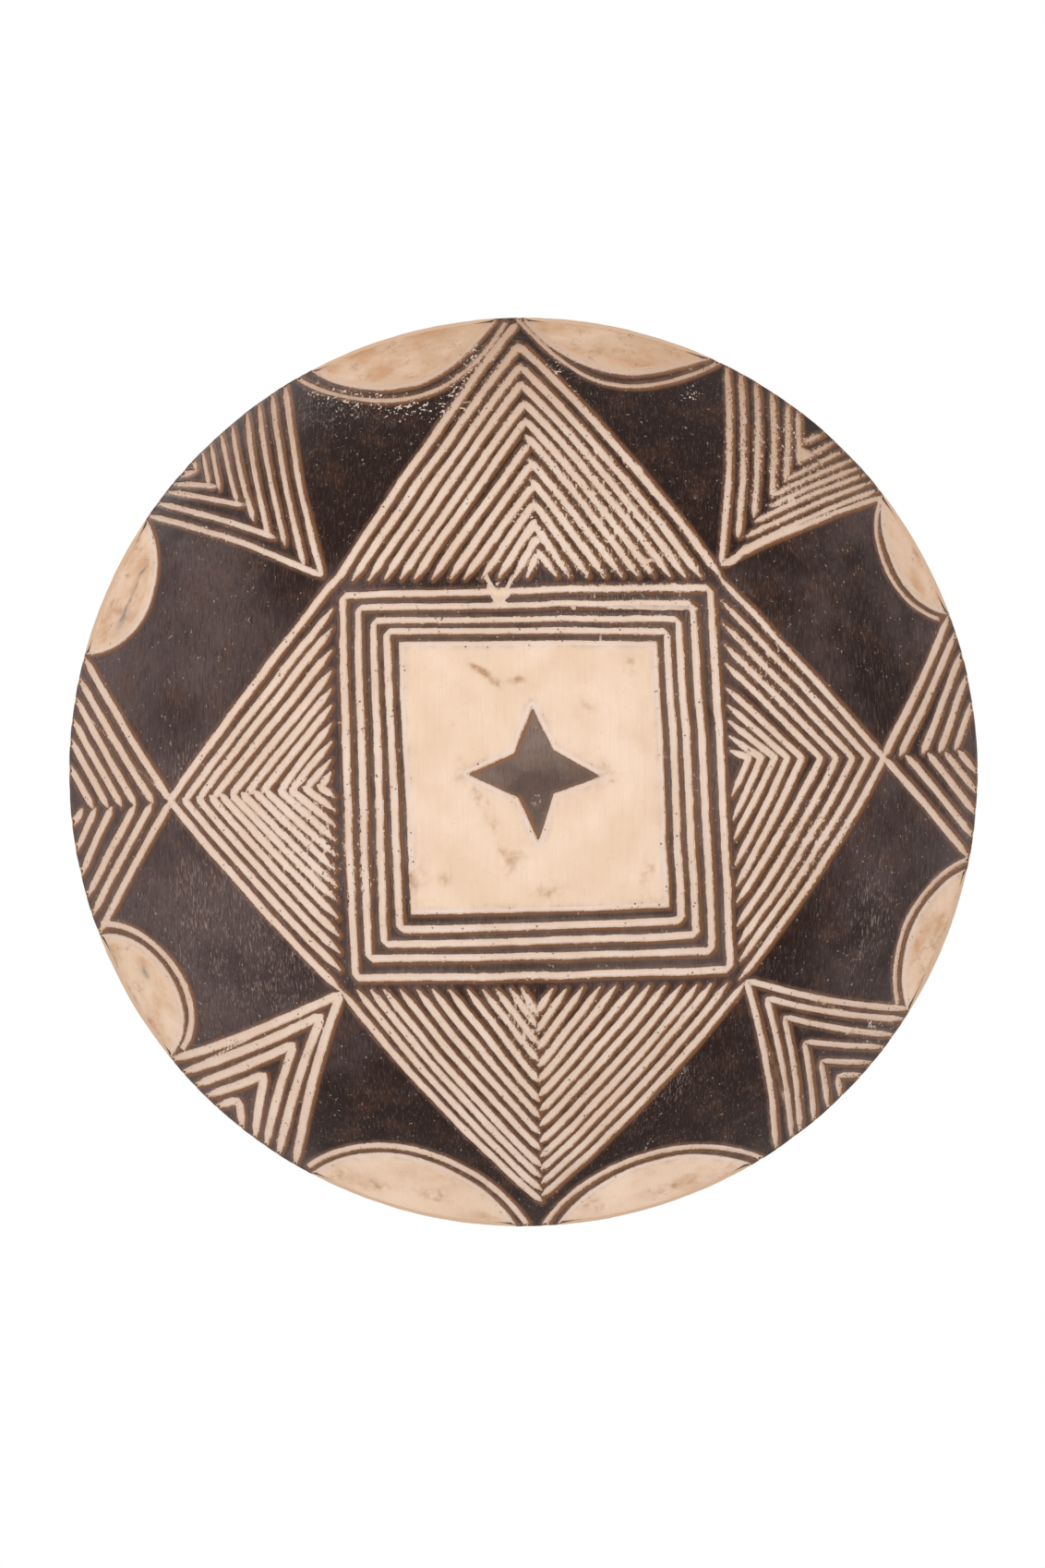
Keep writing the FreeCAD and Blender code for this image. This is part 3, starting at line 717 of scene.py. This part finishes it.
def pits(m, sd):
    """Small dark holes in the cut wood, mostly where it is pitted."""
    cell = m.add("ShaderNodeTexVoronoi", {"Vector": m.place, "Scale": 420.0, "Randomness": 1.0})
    chosen = m.ramp(m.plus(m.noise(170.0, 2.0), m.times(m.attribute("pitted"), 0.22)), 0.56, 0.66)
    return m.times(m.ramp(cell.outputs["Distance"], 0.34, 0.16), chosen, m.ramp(sd, -4.6, -3.0))


def old_wood(m):
    """The inside: brown and handled, with open pores, lighter on the ridges between the tool marks."""
    bands = m.noise(70.0, 5.0, 0.6, m.stretched(1.6, 0.10, 0.4))
    fibre = m.noise(420.0, 4.0, 0.7, m.stretched(2.2, 0.07, 0.5))
    pore = m.noise(900.0, 2.0, 0.5, m.stretched(1.4, 0.09, 0.6))
    old = m.mix(m.ramp(bands, 0.3, 0.7), (0.25, 0.13, 0.062), (0.40, 0.235, 0.125))
    old = m.mix(m.ramp(fibre, 0.42, 0.7, 0.0, 0.7), old, (0.17, 0.085, 0.042))
    old = m.mix(m.ramp(pore, 0.62, 0.72, 0.0, 0.75), old, (0.07, 0.036, 0.022))
    old = m.mix(m.ramp(m.attribute("mark"), 0.3, 0.9, 0.0, 0.5), old, (0.45, 0.275, 0.155))
    return m.mix(m.ramp(m.noise(14.0, 5.0), 0.42, 0.75, 0.0, 0.6), old, (0.115, 0.060, 0.034))


def pale_wood():
    """The bowl's own wood: pale where it is cut, stained here and there, and old and brown inside."""
    m = Material("pale_wood")
    sd = m.attribute("sd")
    # The last input of cut_colour is painted shade, darker towards the rim and at the front.
    colour, grain, mottle = cut_colour(m, sd, m.attribute("painted_rim_shade"))
    colour = burnt_walls(m, colour, sd)
    pit = pits(m, sd)
    colour = m.mix(m.times(pit, 0.85), colour, (0.085, 0.045, 0.028))
    stain = m.times(m.attribute("spot"), m.ramp(m.noise(130.0, 5.0, 0.7), 0.36, 0.62, 0.3, 1.0))
    colour = m.mix(m.ramp(stain, 0.0, 1.0, 0.0, 0.9), colour, (0.45, 0.25, 0.13))
    colour = m.mix(m.times(m.attribute("grey"), 0.85), colour, (0.20, 0.18, 0.16))
    colour = m.mix(m.attribute("hollow"), colour, old_wood(m))
    m.shader.inputs["Specular IOR Level"].default_value = 0.25
    rough = m.ramp(grain, 0.2, 0.8, 0.55, 0.8)
    bump = m.minus(m.plus(m.times(grain, 0.6), m.times(mottle, 0.4)), pit)
    return m.finish(colour, rough, bump, 0.5, 0.0004)


def charred(m, streak, cloud, dark, soft, brown, grey):
    """Black to grey by the painted sheen and greyness, with brown patches, upright streaks and fine
    scratches.
    """
    patch = m.noise(55.0, 4.0, 0.6)
    # Painted sheen: the black is greyed most on the left panels and a little on the right.
    tone = m.plus(m.times(m.attribute("painted_sheen_and_grey"), 0.9), m.ramp(cloud, 0.35, 0.7, -0.22, 0.28))
    colour = m.mix(m.ramp(tone, 0.0, 1.0), dark, soft)
    colour = m.mix(m.ramp(patch, 0.48, 0.72, 0.0, 0.4), colour, brown)
    colour = m.mix(m.ramp(streak, 0.5, 0.75, 0.0, grey), colour, (0.135, 0.10, 0.09))
    colour = m.mix(m.ramp(streak, 0.5, 0.3, 0.0, 0.55), colour, dark)
    rubbed = m.attribute("rubbed")
    stroke = m.noise(760.0, 2.0, 0.6, m.stretched(1.7, 0.22, 0.6))
    strokes = m.plus(m.times(stroke, 0.85), m.plus(m.times(rubbed, 0.07), m.times(patch, 0.3)))
    scratched = m.times(m.ramp(strokes, 0.67, 0.79), m.ramp(rubbed, 0.0, 1.0, 0.2, 0.65))
    return m.mix(scratched, colour, (0.235, 0.185, 0.165))


def beside_cuts(m, colour, brown, edge):
    """Brown on narrow ridges and to one side of the cuts, rubbed edges, and pale barbs where it tore."""
    sd, side = m.attribute("sd"), m.attribute("side")
    narrow = m.times(m.ramp(sd, 2.8, 0.6), m.ramp(m.noise(120.0, 4.0), 0.3, 0.7, 0.14, 0.5))
    colour = m.mix(narrow, colour, edge)
    near = m.times(m.ramp(sd, 3.2, 0.1), m.ramp(side, -0.1, 0.7))
    near = m.times(near, m.ramp(m.noise(75.0, 3.0), 0.22, 0.5, 0.3, 1.0))
    colour = m.mix(near, colour, (0.29, 0.115, 0.042))
    beside = m.times(m.ramp(sd, 5.0, 0.5), m.ramp(side, -0.3, 0.9), 0.35)
    colour = m.mix(beside, colour, brown)
    rub = m.times(m.ramp(sd, 0.8, 0.0), m.ramp(m.noise(260.0, 3.0), 0.35, 0.7, 0.15, 0.85))
    colour = m.mix(rub, colour, (0.24, 0.13, 0.07))
    barb = m.noise(560.0, 4.0, 0.72, m.stretched(1.0, 0.5, 0.7))
    reach = m.times(m.ramp(barb, 0.5, 0.74), m.plus(m.times(m.attribute("torn"), 2.0), 0.1))
    return m.mix(m.ramp(m.minus(sd, reach), 0.12, -0.12), colour, (0.66, 0.46, 0.32))


def blackened(name, dark, soft, brown, worn_to=(0.64, 0.50, 0.40), grey=0.42, edge=(0.28, 0.15, 0.10)):
    """Burnt black wood with faint upright grain: browner beside the cuts, greyer with painted sheen at the
    sides and in the middle, and specked where it is worn."""
    m = Material(name)
    streak = m.noise(700.0, 3.0, 0.65, m.stretched(1.6, 0.16, 0.4))
    cloud = m.noise(17.0, 6.0, 0.62)
    colour = charred(m, streak, cloud, dark, soft, brown, grey)
    colour = beside_cuts(m, colour, brown, edge)

    worn = m.attribute("wear")
    fine = m.noise(600.0, 2.0, 0.6, m.stretched(1.0, 0.7, 1.0))
    amount = m.plus(m.times(fine, 0.8), m.times(m.noise(190.0, 3.0, 0.6), 0.45), m.times(worn, 0.105))
    speck = m.times(m.ramp(amount, 0.80, 0.83), m.ramp(worn, 0.0, 0.5, 0.4, 1.0))
    colour = m.mix(speck, colour, worn_to)
    m.shader.inputs["Specular IOR Level"].default_value = 0.08
    rough = m.ramp(m.plus(cloud, m.times(streak, 0.4)), 0.4, 1.0, 0.36, 0.62)
    return m.finish(colour, rough, m.plus(streak, fine), 0.3, 0.0003)


def floor_material():
    """A plain pale floor with no back, so that it can be looked through from underneath."""
    m = Material("pale_floor")
    m.shader.inputs["Base Color"].default_value = (0.86, 0.86, 0.86, 1)
    m.shader.inputs["Roughness"].default_value = 0.9
    clear = m.add("ShaderNodeBsdfTransparent").outputs[0]
    back = m.add("ShaderNodeNewGeometry").outputs["Backfacing"]
    either = m.add("ShaderNodeMixShader", {0: back, 1: m.shader.outputs[0], 2: clear}).outputs[0]
    m.tree.links.new(either, m.tree.nodes["Material Output"].inputs["Surface"])
    return m.data


# Stage ---------------------------------------------------------------------------------------------

def add_floor():
    """A floor 8 m wide, which casts neither a shadow nor reflected light on the bowl."""
    size = 4.0
    corners = [(-size, -size, 0), (size, -size, 0), (size, size, 0), (-size, size, 0)]
    mesh = bpy.data.meshes.new("floor")
    mesh.from_pydata(corners, [], [(0, 1, 2, 3)])
    floor = bpy.data.objects.new("floor", mesh)
    floor.location.z = -0.0005
    floor.data.materials.append(floor_material())
    floor.visible_shadow = False
    floor.visible_diffuse = False
    floor.visible_glossy = False
    bpy.context.scene.collection.objects.link(floor)


def add_light(name, place, size, power, target=(0, 0, 0.07)):
    """A round soft light, aimed at the bowl."""
    data = bpy.data.lights.new(name, "AREA")
    data.shape = "DISK"
    data.size = size
    data.energy = power
    lamp = bpy.data.objects.new(name, data)
    lamp.location = place
    lamp.rotation_euler = (Vector(target) - Vector(place)).to_track_quat("-Z", "Y").to_euler()
    lamp.visible_camera = False
    bpy.context.scene.collection.objects.link(lamp)


def add_lights():
    """Plain studio light: an even white surround, a key from the front left above and below, and a fill."""
    add_light("under_key", (-0.9, -0.8, -1.9), 0.8, 6)
    add_light("over_key", (-1.2, -1.4, 2.0), 1.2, 30)
    add_light("over_fill", (1.6, 0.9, 1.6), 1.8, 10)
    world = bpy.data.worlds.new("studio")
    world.use_nodes = True
    world.node_tree.nodes["Background"].inputs["Color"].default_value = (1, 1, 1, 1)
    world.node_tree.nodes["Background"].inputs["Strength"].default_value = 1.0
    bpy.context.scene.world = world
    bpy.context.scene.view_settings.view_transform = "Standard"


def add_camera():
    """Straight below the bowl, looking up at its carved underside, with the front at the top."""
    distance = 2.2
    rim_share = 0.8695                               # of the picture's width
    data = bpy.data.cameras.new("camera")
    data.sensor_fit = "HORIZONTAL"
    data.sensor_width = 36
    data.lens = rim_share * data.sensor_width * (distance + HEIGHT * MM) / (2 * EDGE_RADIUS * MM)
    data.shift_x, data.shift_y = -0.0009, -0.0115
    camera = bpy.data.objects.new("camera", data)
    camera.location = (0, 0, -distance)
    camera.rotation_euler = (math.pi, 0, 0)
    bpy.context.scene.collection.objects.link(camera)
    bpy.context.scene.camera = camera


# Putting it together -------------------------------------------------------------------------------

def place(piece, node, slot, material):
    """Give a piece its material and put it in its CAD node's stead."""
    piece.data.materials.append(material)
    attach(piece, "root")
    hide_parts(node)


def main():
    add_camera()
    add_lights()
    add_floor()
    dark, soft, brown = (0.020, 0.0085, 0.0062), (0.102, 0.068, 0.063), (0.088, 0.035, 0.016)
    black = blackened("blackened_wood", dark, soft, brown)
    bands = blackened("blackened_bands", (0.030, 0.016, 0.012), (0.125, 0.082, 0.068), brown,
                      edge=(0.25, 0.165, 0.13))
    ridges = blackened("brown_ridges", (0.045, 0.024, 0.017), (0.10, 0.060, 0.045), (0.16, 0.072, 0.032))
    star = blackened("worn_star", (0.085, 0.052, 0.040), (0.29, 0.21, 0.175), (0.20, 0.11, 0.065),
                     worn_to=(0.30, 0.24, 0.21), grey=0.6)
    lip = blackened("dark_lip", (0.075, 0.050, 0.040), (0.16, 0.11, 0.085), (0.20, 0.11, 0.06))
    finishes = {
        "square_bands": ("blackened_bands", bands),
        "scallop_ridges": ("brown_ridges", ridges),
        "centre_star": ("worn_star", star),
    }
    relief = Relief()
    place(make_body(relief), "bowl_body", "pale_wood", pale_wood())
    place(make_lip(relief), "rim_lip", "dark_lip", lip)
    for number, name in enumerate(LANDS):
        slot, material = finishes.get(name, ("blackened_wood", black))
        place(make_land(relief, number, name), name, slot, material)


main()
